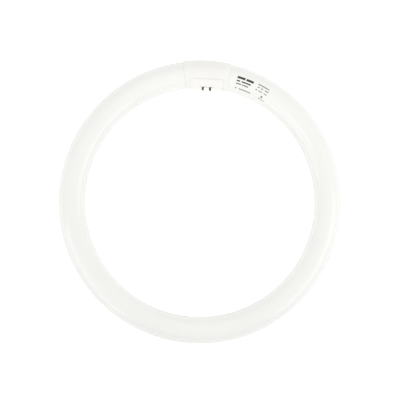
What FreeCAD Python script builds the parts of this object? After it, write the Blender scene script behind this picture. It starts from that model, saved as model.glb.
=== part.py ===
import FreeCAD, Part
import Sketcher
import os

# Circular fluorescent lamp, in millimetres.
# The origin is the middle of the ring, on the plane through the tube's axis.
# +Z is the front of the lamp, +Y is the side that carries the cap, and the contact pins point to -Y.
# "Drop" is a distance inward from the tube's axis at the cap, so it counts along -Y from the ring radius.

os.makedirs("parts", exist_ok=True)
doc = FreeCAD.newDocument("circular_lamp")
sheet = doc.addObject("Spreadsheet::Sheet", "sizes")

# Driving dimensions: name, value, what it measures.
DRIVING = [
    ("ring_outer_dia", "304.8", "outside of the glass ring"),
    ("tube_dia", "28.6", "outside of the glass tube"),
    ("end_room", "1.1", "from the contact block's boss to the glass, along the tube's axis"),
    ("shoulder_round", "8", "corner radius of each closed end of the glass"),
    ("shoulder_neck", "0.5", "straight glass between the ring and that rounding"),
    ("tip_dia", "4", "sealed exhaust tip"),
    ("tip_length", "5", "how far the exhaust tip stands out of the glass end"),
    ("cap_length", "48.2", "cap, along the tube's axis"),
    ("cap_wall", "1", "wall of the cap halves"),
    ("collar_fit", "0.1", "gap between the glass and the cap's bore"),
    ("rim_round", "0.7", "rounding of the cap's two end rims"),
    ("parting_width", "0.3", "groove in the cap's skin, where its halves meet"),
    ("parting_depth", "0.2", "that groove"),
    ("band_width", "3.6", "raised band over the front of the cap"),
    ("band_height", "0.3", "how far the band stands proud"),
    ("band_offset", "6.3", "middle of the band from the middle of the cap"),
    ("window_length", "35.9", "window for the contact block, along X"),
    ("window_drop", "5.2", "drop of the window's straight edge"),
    ("web_thickness", "3.4", "inner web that joins the cap halves"),
    ("web_gap", "0.6", "between the web and the contact block's lips"),
    ("peg_dia", "1.6", "pegs on the rear web"),
    ("peg_length", "3", "how far a peg stands into the front web"),
    ("peg_fit", "0.1", "gap round a peg and at its end"),
    ("peg_near", "2", "inner peg, outward from the tube's axis"),
    ("peg_far", "9", "outer peg, outward from the tube's axis"),
    ("block_fit", "0.15", "gap between the contact block and the window"),
    ("block_step", "0.2", "how far the block's skin lies below the cap's"),
    ("boss_length", "21", "boss of the contact block, along X"),
    ("boss_side", "2", "boss wall beside the well"),
    ("plate_thickness", "1.8", "back plate of the contact block"),
    ("notch_length", "15", "notch between the cheeks of the contact block"),
    ("notch_drop", "13.6", "drop of the flat face in the notch"),
    ("well_length", "13.2", "well round the pins, along X"),
    ("well_width", "11.4", "well round the pins, along Z"),
    ("well_depth", "2.8", "well round the pins, below the notch face"),
    ("well_round", "1.2", "corners of the well"),
    ("contact_floor", "3.2", "plastic floor that holds the pins"),
    ("lip_length", "18", "retaining lips of the contact block, along X"),
    ("lip_reach", "2.2", "how far the lips reach behind the window's edge"),
    ("lip_thickness", "1.2", "retaining lips"),
    ("lip_fit", "0.1", "gap between the lips and the cap's bore"),
    ("pin_dia", "2.36", "contact pin, in front of the floor"),
    ("seat_dia", "2.6", "contact pin, in the floor"),
    ("pin_pitch_along", "7.92", "pins, centre to centre along X"),
    ("pin_pitch_across", "6.35", "pins, centre to centre along Z"),
    ("pin_drop", "17.3", "drop of the pin tips"),
    ("pin_fit", "0.05", "gap round a pin in the floor"),
    ("pin_nose", "0.8", "rounding of a pin's tip"),
    ("flange_dia", "3.4", "pin flange behind the floor"),
    ("flange_thickness", "0.6", "pin flange"),
    ("tail_length", "1.6", "pin tail behind the flange"),
    ("pin_bore_dia", "0.9", "bore in the pin's tail"),
    ("pin_bore_depth", "3", "bore in the pin's tail"),
    ("wire_dia", "0.7", "lead wire"),
    ("wire_bend", "3", "bend of a lead wire, at its centre"),
    ("wire_entry", "2", "how far a wire goes into its pin"),
    ("sleeve_dia", "1.7", "insulating sleeve"),
    ("sleeve_fit", "0.1", "gap between a sleeve and its wire"),
    ("sleeve_gap", "0.4", "gap between a sleeve and the glass"),
    ("cut_past", "1", "how far a cut runs past what it cuts"),
]

# Sizes that follow from the driving ones. Angles are in degrees.
WORKED = [
    ("ring_radius", "=(ring_outer_dia - tube_dia) / 2", "ring, at the tube's axis"),
    ("tube_radius", "=tube_dia / 2", "glass tube"),
    ("turn_rate", "=180 / pi / ring_radius", "degrees of ring for each millimetre of axis"),
    ("cap_half_turn", "=cap_length / 2 * turn_rate", "cap, from its middle to its end"),
    ("end_length", "=shoulder_neck + shoulder_round", "closed end of the glass, past the ring"),
    ("glass_entry", "=cap_length / 2 - boss_length / 2 - end_room - end_length",
     "length of full-width glass inside each end of the cap"),
    ("glass_end_turn", "=(cap_length / 2 - glass_entry) * turn_rate",
     "middle of the cap to full-width glass"),
    ("past_turn", "=cut_past * turn_rate", "how far a turned cut runs past its end"),
    ("bore_radius", "=tube_radius + collar_fit", "bore of the cap"),
    ("cap_radius", "=bore_radius + cap_wall", "outside of the cap"),
    ("web_radius", "=bore_radius + cap_wall / 2", "the web runs halfway into the wall"),
    ("block_radius", "=cap_radius - block_step", "skin of the contact block"),
    ("lip_radius", "=bore_radius - lip_fit", "outside of the lips"),
    ("lip_drop", "=window_drop - lip_reach", "drop of the lips' free edge"),
    ("web_drop", "=lip_drop - web_gap", "drop of the web's free edge"),
    ("well_drop", "=notch_drop - well_depth", "drop of the well's floor"),
    ("back_drop", "=well_drop - contact_floor", "drop of the contact block's back"),
    ("tail_drop", "=back_drop - flange_thickness - tail_length", "drop of the pins' inner ends"),
    ("face_across", "=ring_radius * sin(glass_end_turn) - end_length * cos(glass_end_turn)",
     "flat end of the glass, from the middle of the cap"),
    ("elbow_across", "=pin_pitch_along / 2 + wire_bend", "start of a wire's bend"),
]

NAME_COLUMN, VALUE_COLUMN, NOTE_COLUMN = "A", "B", "C"
for row, (name, value, note) in enumerate(DRIVING + WORKED, start=1):
    sheet.set(f"{NAME_COLUMN}{row}", name)
    sheet.set(f"{VALUE_COLUMN}{row}", value)
    sheet.set(f"{NOTE_COLUMN}{row}", note)
    sheet.setAlias(f"{VALUE_COLUMN}{row}", name)
doc.recompute()

UP = FreeCAD.Vector(0, 0, 1)
LEFT = FreeCAD.Vector(-1, 0, 0)
INWARD = FreeCAD.Vector(0, -1, 0)
# A rotation holds its axis only with some angle. The sheet then sets the real one.
SOME_ANGLE = 1
pieces = []


def sized(text):
    """An expression with each name of the sheet written as a reference to it."""
    words = text.replace("(", " ( ").replace(")", " ) ").split()
    known = {name for name, _, _ in DRIVING + WORKED}
    return " ".join(f"sizes.{word}" if word in known else word for word in words)


def bind(item, **links):
    """Tie properties to the sheet. A double underscore stands for a dot."""
    for path, text in links.items():
        item.setExpression(path.replace("__", "."), sized(text))
    return item


def place(item, across="0", along="0", height="0"):
    """Put an object's own origin at X, Y and Z given as expressions."""
    return bind(item, Placement__Base__x=across, Placement__Base__y=along, Placement__Base__z=height)


def piece(item):
    """Name a finished piece, after its object, and keep it for the output."""
    item.Label = item.Name
    pieces.append(item)
    return item


def sector(name, radius, half_turn, middle="0"):
    """A stretch of ring with a round section, its middle turned anticlockwise from +Y."""
    item = doc.addObject("Part::Torus", name)
    item.Placement.Rotation = FreeCAD.Rotation(UP, SOME_ANGLE)
    return bind(item, Radius1="ring_radius", Radius2=radius, Angle3=f"2 * ( {half_turn} )",
                Placement__Rotation__Angle=f"90 + {middle} - ( {half_turn} )")


def box(name, across, along, height):
    """A box from its least and greatest X, Y and Z."""
    item = doc.addObject("Part::Box", name)
    bind(item, Length=f"( {across[1]} ) - ( {across[0]} )", Width=f"( {along[1]} ) - ( {along[0]} )",
         Height=f"( {height[1]} ) - ( {height[0]} )")
    return place(item, across[0], along[0], height[0])


def rod(name, radius, length, heading, across="0", along="0", height="0"):
    """A cylinder that starts at a point and runs along a heading."""
    item = doc.addObject("Part::Cylinder", name)
    item.Placement.Rotation = FreeCAD.Rotation(UP, heading)
    bind(item, Radius=radius, Height=length)
    return place(item, across, along, height)


def cut(name, base, tool):
    item = doc.addObject("Part::Cut", name)
    item.Base = base
    item.Tool = tool
    item.Refine = True
    return item


def common(name, *shapes):
    item = doc.addObject("Part::MultiCommon", name)
    item.Shapes = shapes
    item.Refine = True
    return item


def fuse(name, *shapes):
    item = doc.addObject("Part::MultiFuse", name)
    item.Shapes = shapes
    item.Refine = True
    return item


def mirror(name, source, normal):
    item = doc.addObject("Part::Mirroring", name)
    item.Source = source
    item.Normal = normal
    return item


def rounded(name, base, radius, chosen):
    """Round those edges of an object that a test picks."""
    doc.recompute()
    item = doc.addObject("Part::Fillet", name)
    item.Base = base
    item.Edges = [(number, radius, radius) for number, edge in enumerate(base.Shape.Edges, start=1)
                  if chosen(edge)]
    return item


def is_circle(edge):
    return isinstance(edge.Curve, Part.Circle) and edge.isClosed()


def symmetric(half):
    return f"-( {half} )", half


def drops(deep, shallow):
    """The Y range between two drops."""
    return f"ring_radius - ( {deep} )", f"ring_radius - ( {shallow} )"


# Extents that clear the whole cap.
BEYOND = "cap_radius + cut_past"
ALL_HEIGHT = symmetric(BEYOND)
PAST_INNER = "2 * cap_radius"
PAST_OUTER = "-2 * cap_radius"


def glass_tube():
    """The sealed ring of glass, with a rounded shoulder and an exhaust tip at each end."""
    ring = sector("glass_ring", "tube_radius", "180 - glass_end_turn", middle="180")
    blank = rod("glass_end_blank", "tube_radius", "end_length", LEFT, along="ring_radius")
    shoulder = rounded("glass_shoulder", blank, sheet.shoulder_round,
                       lambda edge: is_circle(edge) and edge.BoundBox.Center.x < -sheet.shoulder_neck)
    nose_across = "end_length + tip_length - tip_dia / 2"
    tip = rod("glass_tip", "tip_dia / 2", nose_across, LEFT, along="ring_radius")
    nose = doc.addObject("Part::Sphere", "glass_tip_nose")
    bind(nose, Radius="tip_dia / 2")
    place(nose, across=f"-( {nose_across} )", along="ring_radius")
    right_end = fuse("glass_right_end", shoulder, tip, nose)
    right_end.Placement.Rotation = FreeCAD.Rotation(UP, SOME_ANGLE)
    bind(right_end, Placement__Rotation__Angle="-1 * glass_end_turn")
    left_end = mirror("glass_left_end", right_end, LEFT)
    return piece(fuse("glass_tube", ring, right_end, left_end))


def cap_shells():
    """The two moulded halves of the cap, which meet on the plane of the ring."""
    whole = sector("cap_blank", "cap_radius", "cap_half_turn")
    whole = rounded("cap_rounded", whole, sheet.rim_round, is_circle)
    bore = sector("cap_bore", "bore_radius", "cap_half_turn + past_turn")
    window = box("cap_window", symmetric("window_length / 2"), drops(PAST_INNER, "window_drop"), ALL_HEIGHT)
    hollow = fuse("cap_hollow", bore, window)
    walls = cut("cap_walls", whole, hollow)
    web_limit = box("cap_web_limit", symmetric("web_thickness / 2"), drops("web_drop", PAST_OUTER),
                    ALL_HEIGHT)
    web_round = sector("cap_web_round", "web_radius", "cap_half_turn")
    web = common("cap_web", web_round, web_limit)
    parting_slab = box("parting_slab", symmetric("cap_length"), drops(PAST_INNER, PAST_OUTER),
                       symmetric("parting_width / 2"))
    parting_core = sector("parting_core", "cap_radius - parting_depth", "cap_half_turn + past_turn")
    groove = cut("parting_groove", parting_slab, parting_core)
    carcass = cut("cap_carcass", fuse("cap_whole", walls, web), groove)

    band_round = sector("band_round", "cap_radius + band_height", "band_width / 2 * turn_rate",
                        middle="-1 * band_offset * turn_rate")
    band_core = sector("band_core", "web_radius", "cap_half_turn")
    band_limit = box("band_limit", symmetric("cap_length"), drops("window_drop", PAST_OUTER), ("0", BEYOND))
    band = cut("cap_band", common("band_front", band_round, band_limit), band_core)

    front_room = box("front_room", symmetric("cap_length"), drops(PAST_INNER, PAST_OUTER), ("0", BEYOND))
    rear_room = box("rear_room", symmetric("cap_length"), drops(PAST_INNER, PAST_OUTER),
                    (f"-( {BEYOND} )", "0"))
    pegs = []
    sockets = []
    for where in ("peg_near", "peg_far"):
        pegs.append(rod(f"{where}_solid", "peg_dia / 2", "2 * peg_length", UP,
                        along=f"ring_radius + {where}", height="-1 * peg_length"))
        sockets.append(rod(f"{where}_socket", "peg_dia / 2 + peg_fit", "peg_length + peg_fit + cut_past", UP,
                           along=f"ring_radius + {where}", height="-1 * cut_past"))
    front_half = fuse("front_half", common("front_walls", carcass, front_room), band)
    piece(cut("cap_front_shell", front_half, fuse("peg_sockets", *sockets)))
    piece(fuse("cap_rear_shell", common("rear_walls", carcass, rear_room), *pegs))


def contact_block():
    """The insert that fills the cap's window: a curved skin, and a boss with a well that holds the pins."""
    block_round = sector("block_round", "block_radius", "cap_half_turn")
    skin_limit = box("block_skin_limit", symmetric("window_length / 2 - block_fit"),
                     drops(PAST_INNER, "window_drop + block_fit"), ALL_HEIGHT)
    bore = sector("block_bore", "bore_radius", "cap_half_turn + past_turn")
    skin = cut("block_skin", common("block_skin_blank", block_round, skin_limit), bore)

    boss_side = symmetric("boss_length / 2")
    plate = box("block_plate", boss_side, drops("back_drop + plate_thickness", "back_drop"), ALL_HEIGHT)
    boss = box("block_boss", boss_side, drops(PAST_INNER, "back_drop"),
               symmetric("well_width / 2 + boss_side"))
    core_round = sector("block_core_round", "block_radius", "cap_half_turn")
    core = common("block_core", core_round, fuse("block_core_blank", plate, boss))

    lip_outside = sector("lip_outside", "lip_radius", "cap_half_turn")
    lip_inside = sector("lip_inside", "lip_radius - lip_thickness", "cap_half_turn + past_turn")
    lip_limit = box("lip_limit", symmetric("lip_length / 2"),
                    drops("back_drop + plate_thickness / 2", "lip_drop"), ALL_HEIGHT)
    lips = common("block_lips", cut("lip_ring", lip_outside, lip_inside), lip_limit)
    solid = fuse("block_solid", skin, core, lips)

    notch = box("block_notch", symmetric("notch_length / 2"), drops(PAST_INNER, "notch_drop"), ALL_HEIGHT)
    well_blank = box("block_well_blank", symmetric("well_length / 2"),
                     drops("notch_drop + cut_past", "well_drop"), symmetric("well_width / 2"))
    well = rounded("block_well", well_blank, sheet.well_round,
                   lambda edge: edge.BoundBox.YLength > edge.BoundBox.XLength + edge.BoundBox.ZLength)
    holes = [rod(f"pin_hole_{name}", "seat_dia / 2 + pin_fit", "contact_floor + 2 * cut_past", INWARD,
                 across, "ring_radius - back_drop + cut_past", height)
             for name, across, height in pin_places()]
    piece(cut("contact_block", solid, fuse("block_hollows", notch, well, *holes)))


def pin_places():
    """Each pin's name, X and Z."""
    return [(f"{side}_{face}", f"{across} * pin_pitch_along / 2", f"{height} * pin_pitch_across / 2")
            for side, across in (("left", -1), ("right", 1)) for face, height in (("front", 1), ("rear", -1))]


def corner(text):
    return float(sheet.evalExpression(sized(text)))


def turned_profile(sketch, corners):
    """A closed outline of straight lines, each corner held at a radius and a height from the sheet."""
    points = [FreeCAD.Vector(corner(radius), corner(height), 0) for radius, height in corners]
    for start, end in zip(points, points[1:] + points[:1]):
        sketch.addGeometry(Part.LineSegment(start, end), False)
    count = len(points)
    for number in range(count):
        sketch.addConstraint(Sketcher.Constraint("Coincident", number, 2, (number + 1) % count, 1))
    for number, (radius, height) in enumerate(corners):
        for kind, text in (("DistanceX", radius), ("DistanceY", height)):
            if text == "0":
                on_axis = Sketcher.Constraint("PointOnObject", number, 1, -2 if kind == "DistanceX" else -1)
                sketch.addConstraint(on_axis)
                continue
            held = sketch.addConstraint(Sketcher.Constraint(kind, -1, 1, number, 1, corner(text)))
            sketch.setExpression(f"Constraints[{held}]", sized(text))


def contact_pin(name, across, height):
    """A turned brass pin: tip, shank, seat in the floor, flange behind it, and a tail bored for the wire."""
    body = doc.addObject("PartDesign::Body", f"contact_pin_{name}")
    half_turn = 180
    body.Placement.Rotation = FreeCAD.Rotation(FreeCAD.Vector(1, 0, 0), half_turn)
    sketch = body.newObject("Sketcher::SketchObject", f"pin_profile_{name}")
    origin_plane = next(item for item in body.Origin.OriginFeatures if item.Role == "XY_Plane")
    sketch.AttachmentSupport = [(origin_plane, "")]
    sketch.MapMode = "FlatFace"
    flange_end = "tail_length + flange_thickness"
    seat_end = f"{flange_end} + contact_floor"
    length = "pin_drop - tail_drop"
    turned_profile(sketch, [
        ("pin_bore_dia / 2", "0"), ("pin_dia / 2", "0"), ("pin_dia / 2", "tail_length"),
        ("flange_dia / 2", "tail_length"), ("flange_dia / 2", flange_end), ("seat_dia / 2", flange_end),
        ("seat_dia / 2", seat_end), ("pin_dia / 2", seat_end), ("pin_dia / 2", length), ("0", length),
        ("0", "pin_bore_depth"), ("pin_bore_dia / 2", "pin_bore_depth"),
    ])
    turned = body.newObject("PartDesign::Revolution", f"pin_turned_{name}")
    turned.Profile = sketch
    turned.ReferenceAxis = (sketch, ["V_Axis"])
    full_turn = 360
    turned.Angle = full_turn
    doc.recompute()
    nose = body.newObject("PartDesign::Fillet", f"pin_nose_{name}")
    tip_edges = [f"Edge{number}" for number, edge in enumerate(turned.Shape.Edges, start=1)
                 if is_circle(edge) and edge.BoundBox.YMin > corner(length) - corner("pin_nose") / 2]
    nose.Base = (turned, tip_edges)
    bind(nose, Radius="pin_nose")
    body.Tip = nose
    place(body, across, "ring_radius - tail_drop", height)
    return piece(body)


def lead_wires(glass):
    """Four wires, each from a glass end along X, round a bend and down into its pin."""
    elbow_along = "ring_radius - wire_bend"
    height = "pin_pitch_across / 2"
    run = rod("wire_run", "wire_dia / 2", "face_across + cut_past - elbow_across", LEFT,
              "face_across + cut_past", "ring_radius", height)
    elbow = doc.addObject("Part::Torus", "wire_elbow")
    quarter_turn = 90
    elbow.Angle3 = quarter_turn
    elbow.Placement.Rotation = FreeCAD.Rotation(UP, quarter_turn)
    bind(elbow, Radius1="wire_bend", Radius2="wire_dia / 2")
    place(elbow, "elbow_across", elbow_along, height)
    drop = rod("wire_drop", "wire_dia / 2", "tail_drop + wire_entry - wire_bend", INWARD,
               "pin_pitch_along / 2", elbow_along, height)
    wire = cut("lead_wire_right_front", fuse("wire_whole", run, elbow, drop), glass)
    quadrants("lead_wire", piece(wire))

    sleeve_length = "face_across - sleeve_gap - elbow_across"
    outside = rod("sleeve_outside", "sleeve_dia / 2", sleeve_length, LEFT,
                  "face_across - sleeve_gap", "ring_radius", height)
    inside = rod("sleeve_inside", "wire_dia / 2 + sleeve_fit", f"{sleeve_length} + 2 * cut_past", LEFT,
                 "face_across - sleeve_gap + cut_past", "ring_radius", height)
    quadrants("sleeve", piece(cut("sleeve_right_front", outside, inside)))


def quadrants(kind, right_front):
    """The mirrored copies of a piece at the other three pins."""
    left_front = piece(mirror(f"{kind}_left_front", right_front, LEFT))
    piece(mirror(f"{kind}_right_rear", right_front, UP))
    piece(mirror(f"{kind}_left_rear", left_front, UP))


glass = glass_tube()
cap_shells()
contact_block()
for name, across, height in pin_places():
    contact_pin(name, across, height)
lead_wires(glass)
doc.recompute()

failed = [item.Name for item in doc.Objects if "Invalid" in item.State or "Error" in item.State]
if failed:
    raise RuntimeError(f"these did not build: {failed}")
for item in pieces:
    if item.Shape.isNull() or not item.Shape.isValid() or len(item.Shape.Solids) != 1:
        raise RuntimeError(f"{item.Label} is not one valid solid")
for item in pieces:
    item.Shape.exportStep(f"parts/{item.Label}.step")
    print(f"{item.Label}: {item.Shape.Volume:.1f} cubic mm")
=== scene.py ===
import math

import bmesh
import bpy
from mathutils import Euler, Matrix, Vector


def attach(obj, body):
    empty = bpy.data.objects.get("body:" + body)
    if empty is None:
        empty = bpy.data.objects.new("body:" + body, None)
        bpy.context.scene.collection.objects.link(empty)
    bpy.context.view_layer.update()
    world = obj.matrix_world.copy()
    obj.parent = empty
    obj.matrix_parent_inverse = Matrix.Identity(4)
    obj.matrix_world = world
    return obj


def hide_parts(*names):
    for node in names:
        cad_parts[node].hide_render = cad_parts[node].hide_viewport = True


# Circular fluorescent lamp, in metres, lying face up on a white floor and seen from straight above.

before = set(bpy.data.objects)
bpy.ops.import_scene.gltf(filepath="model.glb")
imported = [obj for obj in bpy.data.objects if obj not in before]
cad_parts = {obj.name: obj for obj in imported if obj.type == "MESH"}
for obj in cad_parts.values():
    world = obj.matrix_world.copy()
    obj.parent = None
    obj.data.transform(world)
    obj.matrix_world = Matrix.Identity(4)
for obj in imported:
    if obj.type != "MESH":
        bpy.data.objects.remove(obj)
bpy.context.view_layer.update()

# The ring, as the frame has it.
RING_RADIUS = 0.1381
TUBE_RADIUS = 0.0143
RING_OUTER_WIDTH = 2 * (RING_RADIUS + TUBE_RADIUS)

# The photograph: where it shows the ring, and how far clockwise of its top the cap's middle lies.
PHOTO_SIZE = 400
RING_CENTRE_PX = (199.85, 202.3)
RING_WIDTH_PX = 282.2
CAP_TURN = math.radians(3.3)

CAMERA_HEIGHT = 3.2
SENSOR_WIDTH = 36.0


def make_camera():
    """A camera straight above the ring, rolled so that the cap sits where the photograph has it."""
    metres_per_px = RING_OUTER_WIDTH / RING_WIDTH_PX
    data = bpy.data.cameras.new("camera")
    data.sensor_width = SENSOR_WIDTH
    data.lens = SENSOR_WIDTH * CAMERA_HEIGHT / (PHOTO_SIZE * metres_per_px)
    camera = bpy.data.objects.new("camera", data)
    bpy.context.scene.collection.objects.link(camera)
    right = Vector((math.cos(CAP_TURN), math.sin(CAP_TURN), 0))
    up = Vector((-math.sin(CAP_TURN), math.cos(CAP_TURN), 0))
    ring_right = (RING_CENTRE_PX[0] - PHOTO_SIZE / 2) * metres_per_px
    ring_down = (RING_CENTRE_PX[1] - PHOTO_SIZE / 2) * metres_per_px
    camera.location = up * ring_down - right * ring_right + Vector((0, 0, CAMERA_HEIGHT))
    camera.rotation_euler = Euler((0, 0, CAP_TURN))
    bpy.context.scene.camera = camera


# Shader helpers


class Shader:
    """A node material with one principled surface, and short calls for the nodes that feed it."""

    def __init__(self, name, **settings):
        self.material = bpy.data.materials.new(name)
        self.material.use_nodes = True
        self.tree = self.material.node_tree
        self.surface = self.tree.nodes["Principled BSDF"]
        for label, value in settings.items():
            self.surface.inputs[label.replace("_", " ")].default_value = value

    def node(self, kind, inputs=None, **settings):
        item = self.tree.nodes.new(kind)
        for label, value in settings.items():
            setattr(item, label, value)
        for label, value in (inputs or {}).items():
            if isinstance(value, bpy.types.NodeSocket):
                self.tree.links.new(value, item.inputs[label])
            else:
                item.inputs[label].default_value = value
        return item

    def position(self):
        return self.node("ShaderNodeNewGeometry").outputs["Position"]

    def noise(self, scale, detail=3.0, roughness=0.5):
        inputs = {"Vector": self.position(), "Scale": scale, "Detail": detail, "Roughness": roughness}
        return self.node("ShaderNodeTexNoise", inputs).outputs["Fac"]

    def ramp(self, factor, low, high, start=0.3, end=0.7):
        item = self.node("ShaderNodeValToRGB", {"Fac": factor})
        item.color_ramp.elements[0].position = start
        item.color_ramp.elements[0].color = low
        item.color_ramp.elements[1].position = end
        item.color_ramp.elements[1].color = high
        return item.outputs["Color"]

    def mix(self, factor, first, second, blend="MIX"):
        item = self.node("ShaderNodeMix", data_type="RGBA", blend_type=blend)
        for socket, value in (("Factor_Float", factor), ("A_Color", first), ("B_Color", second)):
            target = next(entry for entry in item.inputs if entry.identifier == socket)
            if isinstance(value, bpy.types.NodeSocket):
                self.tree.links.new(value, target)
            else:
                target.default_value = value
        return next(entry for entry in item.outputs if entry.identifier == "Result_Color")

    def between(self, factor, first, last):
        """A number that runs from first to last as the factor runs from 0 to 1."""
        inputs = {"Value": factor, "To Min": first, "To Max": last}
        return self.node("ShaderNodeMapRange", inputs).outputs["Result"]

    def bump(self, height, distance, strength):
        inputs = {"Height": height, "Distance": distance, "Strength": strength}
        return self.node("ShaderNodeBump", inputs).outputs["Normal"]

    def feed(self, label, socket):
        self.tree.links.new(socket, self.surface.inputs[label])


# The share of a colour's warmth that dims its green, where blue takes all of it.
GREEN_SHARE = 0.2


def grey(value, warmth=0.0):
    """An opaque near-neutral colour, a little yellower as warmth grows."""
    return (value, value * (1 - GREEN_SHARE * warmth), value * (1 - warmth), 1.0)


# Finishes, in linear colours and with scales of noise per metre

# The powder coating, and the glass outside and on the powder's side. The greater an index, the more that
# side mirrors.
POWDER_DULL = (0.885, 0.888, 0.858, 1)
POWDER_BRIGHT = (0.9, 0.903, 0.873, 1)
POWDER_GRAIN = 0.97
GLASS_ROUGHNESS = 0.12
GLASS_IOR = 1.7
POWDER_SIDE_ROUGHNESS = 0.2
POWDER_SIDE_IOR = 1.5

# The plastics: tones, how far a tone strays either way, its warmth, and the share of that in light patches.
CAP_TONE = 0.89
BLOCK_TONE = 0.905
TONE_SPREAD = 0.012
PLASTIC_WARMTH = 0.045
LIGHT_WARMTH_SHARE = 0.6

BRASS_BROWNED = (0.10, 0.072, 0.035, 1)
BRASS_CLEAN = (0.34, 0.24, 0.12, 1)
TIN_DULL = (0.52, 0.48, 0.42, 1)
TIN_BRIGHT = (0.72, 0.71, 0.68, 1)
# The sleeving's weave: the darker colour is painted shade in the weave's hollows, the lighter one its
# raised threads.
WEAVE_HOLLOW_SHADE = (0.74, 0.71, 0.62, 1)
WEAVE_HIGH = (0.90, 0.88, 0.82, 1)

# The ink: tones of the heavy and the light print, their warmth, and how many times lighter thin ink is.
HEAVY_INK_TONE = 0.035
LIGHT_INK_TONE = 0.15
INK_WARMTH = 0.3
INK_THINNING = 1.6


def tube_material():
    """Glass over a white powder coating: bright, smooth, faintly cloudy, with the powder's fine grain."""
    shader = Shader("coated_glass", Roughness=POWDER_SIDE_ROUGHNESS, IOR=POWDER_SIDE_IOR,
                    Coat_Weight=1.0, Coat_IOR=GLASS_IOR, Coat_Roughness=GLASS_ROUGHNESS)
    clouds = shader.ramp(shader.noise(scale=14.0, detail=2.0), POWDER_DULL, POWDER_BRIGHT)
    powder = shader.noise(scale=2600.0, detail=2.0)
    grain = shader.ramp(powder, grey(POWDER_GRAIN), grey(1.0), start=0.25, end=0.6)
    shader.feed("Base Color", shader.mix(1.0, clouds, grain, "MULTIPLY"))
    waves = shader.noise(scale=55.0, detail=1.0)
    shader.feed("Normal", shader.bump(waves, distance=0.0002, strength=0.35))
    return shader.material


def plastic_material(name, tone):
    """White moulded plastic with a satin skin and a fine spark texture."""
    shader = Shader(name, IOR=1.46, Diffuse_Roughness=0.7)
    dark = grey(tone - TONE_SPREAD, PLASTIC_WARMTH)
    light = grey(tone + TONE_SPREAD, PLASTIC_WARMTH * LIGHT_WARMTH_SHARE)
    shader.feed("Base Color", shader.ramp(shader.noise(scale=60.0, detail=3.0), dark, light))
    satin = shader.noise(scale=900.0, detail=2.0)
    shader.feed("Roughness", shader.between(satin, first=0.36, last=0.5))
    spark = shader.noise(scale=1500.0, detail=4.0, roughness=0.6)
    shader.feed("Normal", shader.bump(spark, distance=0.00006, strength=0.5))
    return shader.material


def brass_material():
    """Drawn brass, dulled and browned in patches."""
    shader = Shader("dulled_brass", Metallic=1.0)
    tarnish = shader.noise(scale=700.0, detail=4.0, roughness=0.6)
    shader.feed("Base Color", shader.ramp(tarnish, BRASS_BROWNED, BRASS_CLEAN, start=0.35, end=0.72))
    shader.feed("Roughness", shader.between(tarnish, first=0.5, last=0.28))
    drawing = shader.noise(scale=2400.0, detail=2.0)
    shader.feed("Normal", shader.bump(drawing, distance=0.00003, strength=0.4))
    return shader.material


def wire_material():
    """Tinned copper wire."""
    shader = Shader("tinned_wire", Metallic=1.0, Roughness=0.3)
    shader.feed("Base Color", shader.ramp(shader.noise(scale=900.0), TIN_DULL, TIN_BRIGHT))
    return shader.material


def sleeve_material():
    """Woven glass-fibre sleeving: two crossed sets of bands raise the weave, and painted shade darkens its
    hollows.
    """
    shader = Shader("sleeving", Roughness=0.85)
    bands = []
    for direction in ("X", "DIAGONAL"):
        inputs = {"Vector": shader.position(), "Scale": 1800.0, "Distortion": 0.6}
        bands.append(shader.node("ShaderNodeTexWave", inputs, bands_direction=direction).outputs["Fac"])
    weave = shader.mix(0.5, *bands)
    # Painted shade: the colour darkens where the bands lie low, the same bands that raise the bump.
    shader.feed("Base Color", shader.ramp(weave, WEAVE_HOLLOW_SHADE, WEAVE_HIGH))
    shader.feed("Normal", shader.bump(weave, distance=0.00008, strength=0.8))
    return shader.material


def ink_material(name, tone):
    """Screen-printed ink, a little brown and uneven."""
    shader = Shader(name, Roughness=0.55)
    thick = grey(tone, INK_WARMTH)
    thin = grey(tone * INK_THINNING, INK_WARMTH)
    shader.feed("Base Color", shader.ramp(shader.noise(scale=1200.0), thick, thin))
    return shader.material


# New pieces


def new_piece(name, mesh, material):
    """Turn a closed mesh in the making into a piece that belongs to the lamp."""
    bmesh.ops.recalc_face_normals(mesh, faces=mesh.faces)
    data = bpy.data.meshes.new(name)
    mesh.to_mesh(data)
    mesh.free()
    data.materials.append(material)
    item = bpy.data.objects.new(name, data)
    bpy.context.scene.collection.objects.link(item)
    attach(item, "root")
    return item


def add_skin(mesh, loops):
    """Faces from each loop of points to the next, and one over each end."""
    for first, second in zip(loops, loops[1:]):
        for number in range(len(first)):
            following = (number + 1) % len(first)
            mesh.faces.new((first[number], first[following], second[following], second[number]))
    mesh.faces.new(loops[0][::-1])
    mesh.faces.new(loops[-1])


# The glass: the sealed ring, with a rounded shoulder and an exhaust tip at each end, in fine steps

# From the middle of the cap to full-width glass, along the tube's axis.
GLASS_START = 0.0201
END_TURN = GLASS_START / RING_RADIUS
NECK_LENGTH = 0.0005
SHOULDER_ROUND = 0.008
TIP_RADIUS = 0.002
TIP_LENGTH = 0.005
GLASS_SIDES = 96
RING_STEPS = 344
ROUND_STEPS = 8
SHARP_ANGLE = math.radians(35)
UP = Vector((0, 0, 1))


def round_profile(past, radius, size):
    """A quarter round that closes a rod: how far past its start and at what radius each step lies."""
    steps = [math.pi / 2 * number / ROUND_STEPS for number in range(1, ROUND_STEPS + 1)]
    return [(past + size * math.sin(step), radius - size * (1 - math.cos(step))) for step in steps]


def end_profile():
    """The closed end of the glass, past the ring: distance and radius of each loop of points."""
    flat = NECK_LENGTH + SHOULDER_ROUND
    tip_round = flat + TIP_LENGTH - TIP_RADIUS
    shoulder = round_profile(NECK_LENGTH, TUBE_RADIUS, SHOULDER_ROUND)
    nose = round_profile(tip_round, TIP_RADIUS, TIP_RADIUS)[:-1]
    return [(NECK_LENGTH, TUBE_RADIUS), *shoulder, (flat, TIP_RADIUS), (tip_round, TIP_RADIUS), *nose]


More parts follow.
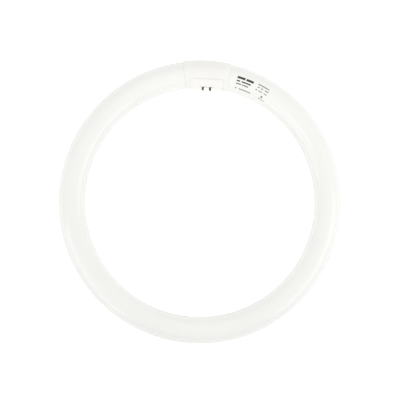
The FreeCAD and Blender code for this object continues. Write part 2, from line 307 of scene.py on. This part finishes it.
def glass_loop(mesh, turn, past, radius):
    """One loop of points round the tube's axis, at a turn clockwise from +Y and a distance past it."""
    outward = Vector((math.sin(turn), math.cos(turn), 0))
    along = Vector((math.cos(turn), -math.sin(turn), 0))
    middle = outward * RING_RADIUS + along * past
    angles = [2 * math.pi * number / GLASS_SIDES for number in range(GLASS_SIDES)]
    return [mesh.verts.new(middle + radius * (math.cos(angle) * outward + math.sin(angle) * UP))
            for angle in angles]


def make_glass(material):
    """The glass as one closed mesh of the frame's own form, for an even gloss along the ring."""
    mesh = bmesh.new()
    start_end = [glass_loop(mesh, END_TURN, -past, radius) for past, radius in reversed(end_profile())]
    span = 2 * (math.pi - END_TURN)
    ring = [glass_loop(mesh, END_TURN + span * number / RING_STEPS, 0, TUBE_RADIUS)
            for number in range(RING_STEPS + 1)]
    finish_end = [glass_loop(mesh, -END_TURN, past, radius) for past, radius in end_profile()]
    add_skin(mesh, start_end + ring + finish_end)
    piece = new_piece("glass", mesh, material)
    piece.data.shade_smooth()
    piece.data.set_sharp_from_angle(angle=SHARP_ANGLE)
    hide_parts("glass_tube")


# Printed marks on the glass: plain bars and dots, in rows along the tube, with no lettering

# How far a mark stands out of the glass and how far it sinks in, in metres.
INK_THICKNESS = 0.00004
INK_SINK = 0.00006
BAR_STEP = math.radians(0.5)
BAR_WIDTH_STEP = 0.0005
LEAST_STEPS = 2
DOT_SIDES = 24
DOT_RINGS = 3

# Bars: start and end in degrees clockwise of the cap's middle, then distance from the ring's centre and
# width in metres. Dots: their place in the same terms, then size across.
HEAVY_BARS = [
    (13.5, 17.1, 0.1409, 0.0024), (17.6, 21.0, 0.1409, 0.0024),
    (13.5, 15.1, 0.1372, 0.0014), (15.8, 20.2, 0.1372, 0.0014),
]
HEAVY_DOTS = [(14.0, 0.1294, 0.0013)]
LIGHT_BARS = [
    (13.5, 16.0, 0.1341, 0.0012), (16.5, 19.4, 0.1341, 0.0012),
    (15.5, 21.5, 0.1293, 0.0008),
    (23.1, 28.5, 0.1418, 0.0010),
    (23.4, 24.3, 0.1388, 0.0010), (25.0, 26.0, 0.1388, 0.0010), (27.0, 28.8, 0.1388, 0.0010),
    (22.9, 23.7, 0.1355, 0.0010), (24.3, 26.3, 0.1355, 0.0008), (27.1, 28.7, 0.1355, 0.0008),
    (25.7, 29.1, 0.1285, 0.0005),
]
LIGHT_DOTS = [(27.0, 0.1311, 0.0022)]


def on_tube(turn, radius, lift):
    """A point on the front of the tube: turned clockwise from +Y, at a distance from the ring's centre."""
    across = radius - RING_RADIUS
    height = math.sqrt(TUBE_RADIUS ** 2 - across ** 2)
    scale = (TUBE_RADIUS + lift) / TUBE_RADIUS
    reach = RING_RADIUS + across * scale
    return Vector((reach * math.sin(turn), reach * math.cos(turn), height * scale))


def add_bar(mesh, start, end, radius, width):
    """A closed thin plate along the tube, from one turn to another, which follows the glass."""
    steps = max(LEAST_STEPS, round((end - start) / BAR_STEP))
    strips = max(LEAST_STEPS, round(width / BAR_WIDTH_STEP))
    across = [width * (number / strips - 0.5) for number in range(strips + 1)]
    outline = [(offset, INK_THICKNESS) for offset in across]
    outline += [(offset, -INK_SINK) for offset in reversed(across)]
    loops = []
    for number in range(steps + 1):
        turn = start + (end - start) * number / steps
        loops.append([mesh.verts.new(on_tube(turn, radius + offset, lift)) for offset, lift in outline])
    add_skin(mesh, loops)


def add_dot(mesh, turn, radius, size):
    """A closed thin disc on the tube, in rings that follow the glass."""
    rings = [(number / DOT_RINGS, INK_THICKNESS) for number in range(1, DOT_RINGS + 1)] + [(1, -INK_SINK)]
    angles = [2 * math.pi * number / DOT_SIDES for number in range(DOT_SIDES)]
    loops = []
    for share, lift in rings:
        reach = share * size / 2
        loops.append([mesh.verts.new(on_tube(turn + reach * math.cos(angle) / radius,
                                             radius + reach * math.sin(angle), lift)) for angle in angles])
    add_skin(mesh, loops)


def make_print(name, material, bars, dots):
    """One piece that holds all the marks of one ink."""
    mesh = bmesh.new()
    for start, end, radius, width in bars:
        add_bar(mesh, math.radians(start), math.radians(end), radius, width)
    for turn, radius, size in dots:
        add_dot(mesh, math.radians(turn), radius, size)
    new_piece(name, mesh, material)


def printed_marks():
    """Two columns of greeked rows, clockwise of the cap."""
    make_print("print_heavy", ink_material("ink_heavy", HEAVY_INK_TONE), HEAVY_BARS, HEAVY_DOTS)
    make_print("print_light", ink_material("ink_light", LIGHT_INK_TONE), LIGHT_BARS, LIGHT_DOTS)


# Finishes of the frame's own pieces


def dress(prefix, material):
    """Give every piece whose name starts so its finish."""
    for name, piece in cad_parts.items():
        if name.startswith(prefix):
            piece.data.materials.clear()
            piece.data.materials.append(material)


def finishes():
    """Dress the frame's pieces, and put the finer glass in place of the frame's."""
    coated_glass = tube_material()
    dress("glass_tube", coated_glass)
    make_glass(coated_glass)
    dress("cap_", plastic_material("cap_plastic", CAP_TONE))
    dress("contact_block", plastic_material("block_plastic", BLOCK_TONE))
    dress("contact_pin", brass_material())
    dress("lead_wire", wire_material())
    dress("sleeve", sleeve_material())


# Floor and light

CAP_RADIUS = 0.0154
FLOOR_SIZE = 12.0
FLOOR_GAP = 0.00005
FLOOR_WHITE = 0.9

# What the floor adds of its own, so that it reads as white: to the camera, and to gloss and clear glass.
GLOW_SEEN = 0.35
GLOW_MIRRORED = 0.1

DOME_STRENGTH = 0.77

# Soft lights: bearing clockwise from the top of the picture and elevation in degrees, distance, width and
# height in metres, power in watts. The glass mirrors the panels, and not the fills.
PANELS = {
    "panel_lower_right": (117, 30, 1.0, 0.95, 0.62, 0.93),
    "panel_lower_left": (236, 21, 1.0, 0.84, 0.5, 0.85),
    "panel_streak": (235, 61, 1.03, 0.4, 0.4, 0.0125),
}
FILLS = {
    "fill_left": (270, 30, 1.2, 1.0, 1.0, 1.6),
    "fill_right": (90, 30, 1.2, 1.0, 1.0, 2.45),
    "fill_top": (0, 60, 0.5, 0.3, 0.3, 0.29),
    "fill_cap": (183, 28, 0.8, 0.1, 0.1, 0.0035),
}

# The gridded ones: the bearing of the place on the ring that each is aimed at, and its spread in degrees.
GRIDS = {
    "panel_streak": (55, 28),
    "fill_cap": (3, 14),
}


def make_floor():
    """A white floor, sloped so that it touches both the cap's underside and the glass opposite."""
    slope = math.atan((CAP_RADIUS - TUBE_RADIUS) / (2 * RING_RADIUS))
    data = bpy.data.meshes.new("floor")
    half = FLOOR_SIZE / 2
    corners = [(-half, -half, 0), (half, -half, 0), (half, half, 0), (-half, half, 0)]
    data.from_pydata(corners, [], [(0, 1, 2, 3)])
    floor = bpy.data.objects.new("floor", data)
    bpy.context.scene.collection.objects.link(floor)
    floor.matrix_world = (Matrix.Translation((0, 0, -(CAP_RADIUS + TUBE_RADIUS) / 2 - FLOOR_GAP))
                          @ Matrix.Rotation(-slope, 4, "X"))
    shader = Shader("floor", Roughness=1.0, Specular_IOR_Level=0.0, Base_Color=grey(FLOOR_WHITE),
                    Emission_Color=grey(1.0))
    shader.feed("Emission Strength", floor_glow(shader))
    data.materials.append(shader.material)


def floor_glow(shader):
    """The floor's own light, for the rays that show it as background."""
    rays = shader.node("ShaderNodeLightPath").outputs
    seen = shader.node("ShaderNodeMath", {0: rays["Is Camera Ray"], 1: GLOW_SEEN}, operation="MULTIPLY")
    glossy_or_clear = {0: rays["Is Glossy Ray"], 1: rays["Is Transmission Ray"]}
    mirrored = shader.node("ShaderNodeMath", glossy_or_clear, operation="MAXIMUM")
    both = {0: mirrored.outputs[0], 1: GLOW_MIRRORED, 2: seen.outputs[0]}
    return shader.node("ShaderNodeMath", both, operation="MULTIPLY_ADD").outputs[0]


def make_world():
    """An even white dome: white to the camera, and DOME_STRENGTH as a light."""
    world = bpy.data.worlds.new("studio")
    world.use_nodes = True
    bpy.context.scene.world = world
    background = world.node_tree.nodes["Background"]
    background.inputs["Color"].default_value = grey(1.0)
    path = world.node_tree.nodes.new("ShaderNodeLightPath")
    level = world.node_tree.nodes.new("ShaderNodeMapRange")
    level.inputs["To Min"].default_value = DOME_STRENGTH
    level.inputs["To Max"].default_value = 1.0
    world.node_tree.links.new(path.outputs["Is Camera Ray"], level.inputs["Value"])
    world.node_tree.links.new(level.outputs["Result"], background.inputs["Strength"])


def seen_direction(bearing, elevation=0.0):
    """A unit vector from its bearing, clockwise from the picture's top, and its elevation in degrees."""
    turn = math.radians(bearing) - CAP_TURN
    rise = math.radians(elevation)
    return Vector((math.sin(turn) * math.cos(rise), math.cos(turn) * math.cos(rise), math.sin(rise)))


def make_lamp(name, bearing, elevation, distance, width, height, power):
    """A soft light with level edges that faces the ring's centre, or the target of its grid."""
    data = bpy.data.lights.new(name, "AREA")
    data.shape = "RECTANGLE"
    data.size = width
    data.size_y = height
    data.energy = power
    target = Vector()
    if name in GRIDS:
        aim, spread = GRIDS[name]
        target = seen_direction(aim) * RING_RADIUS
        data.spread = math.radians(spread)
    lamp = bpy.data.objects.new(name, data)
    bpy.context.scene.collection.objects.link(lamp)
    lamp.location = seen_direction(bearing, elevation) * distance
    lamp.rotation_euler = (target - lamp.location).to_track_quat("-Z", "Y").to_euler()
    return lamp


def make_lamps():
    for name, measures in PANELS.items():
        make_lamp(name, *measures)
    for name, measures in FILLS.items():
        make_lamp(name, *measures).visible_glossy = False


make_camera()
finishes()
printed_marks()
make_floor()
make_world()
make_lamps()

bpy.context.scene.view_settings.view_transform = "Standard"
